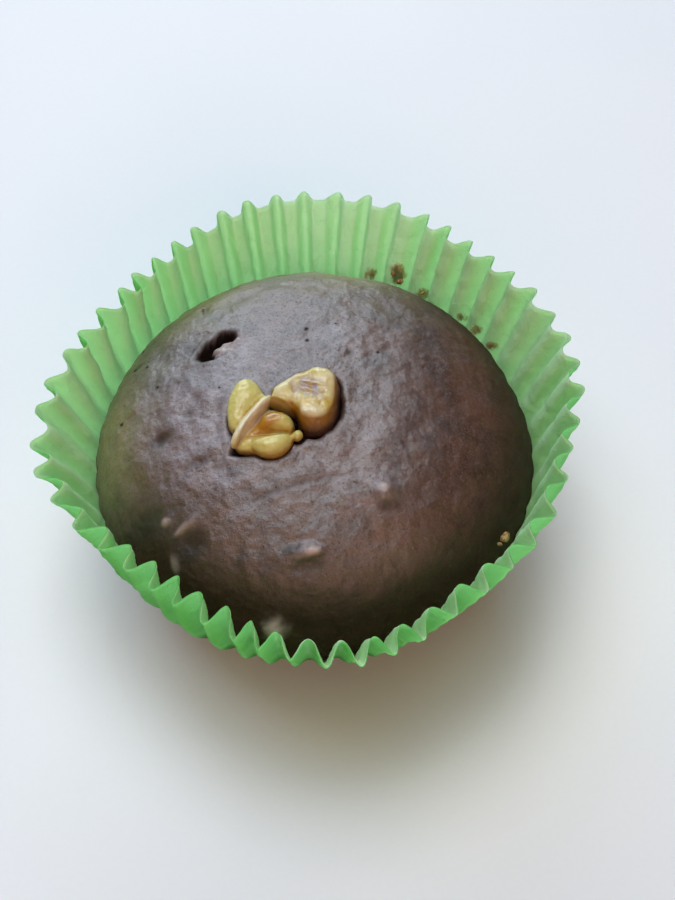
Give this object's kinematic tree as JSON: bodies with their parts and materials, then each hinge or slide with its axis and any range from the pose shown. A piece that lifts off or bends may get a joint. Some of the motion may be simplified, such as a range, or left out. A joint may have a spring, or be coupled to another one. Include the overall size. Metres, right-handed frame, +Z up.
{
  "type": "muffin",
  "caption": "Dark chocolate muffin with a domed crown, in a pleated green paper baking case, with walnut pieces baked into the top.",
  "frame": {"origin": "middle of the part's footprint, on the surface that the case stands on", "axes": "+Z up out of the case; -Y towards the side with the lower, narrower rim; +X to the right seen from there"},
  "size_m": [0.0808, 0.0844, 0.038],
  "materials": {
    "green_paper": "matte greaseproof paper, pleated, with small oil stains by the muffin",
    "chocolate_crust": "baked chocolate crust, finely wrinkled, dull with a faint sheen",
    "pale_walnut": "baked walnut kernel, pale yellow lobes with amber creases, slightly oily",
    "toasted_walnut": "baked walnut kernel, cream flesh under brown skin, slightly oily"
  },
  "bodies": {
    "root": {"paper_case": "green_paper", "muffin": "chocolate_crust", "walnut_piece_left": "pale_walnut", "walnut_piece_right": "toasted_walnut"}
  },
  "joints": []
}
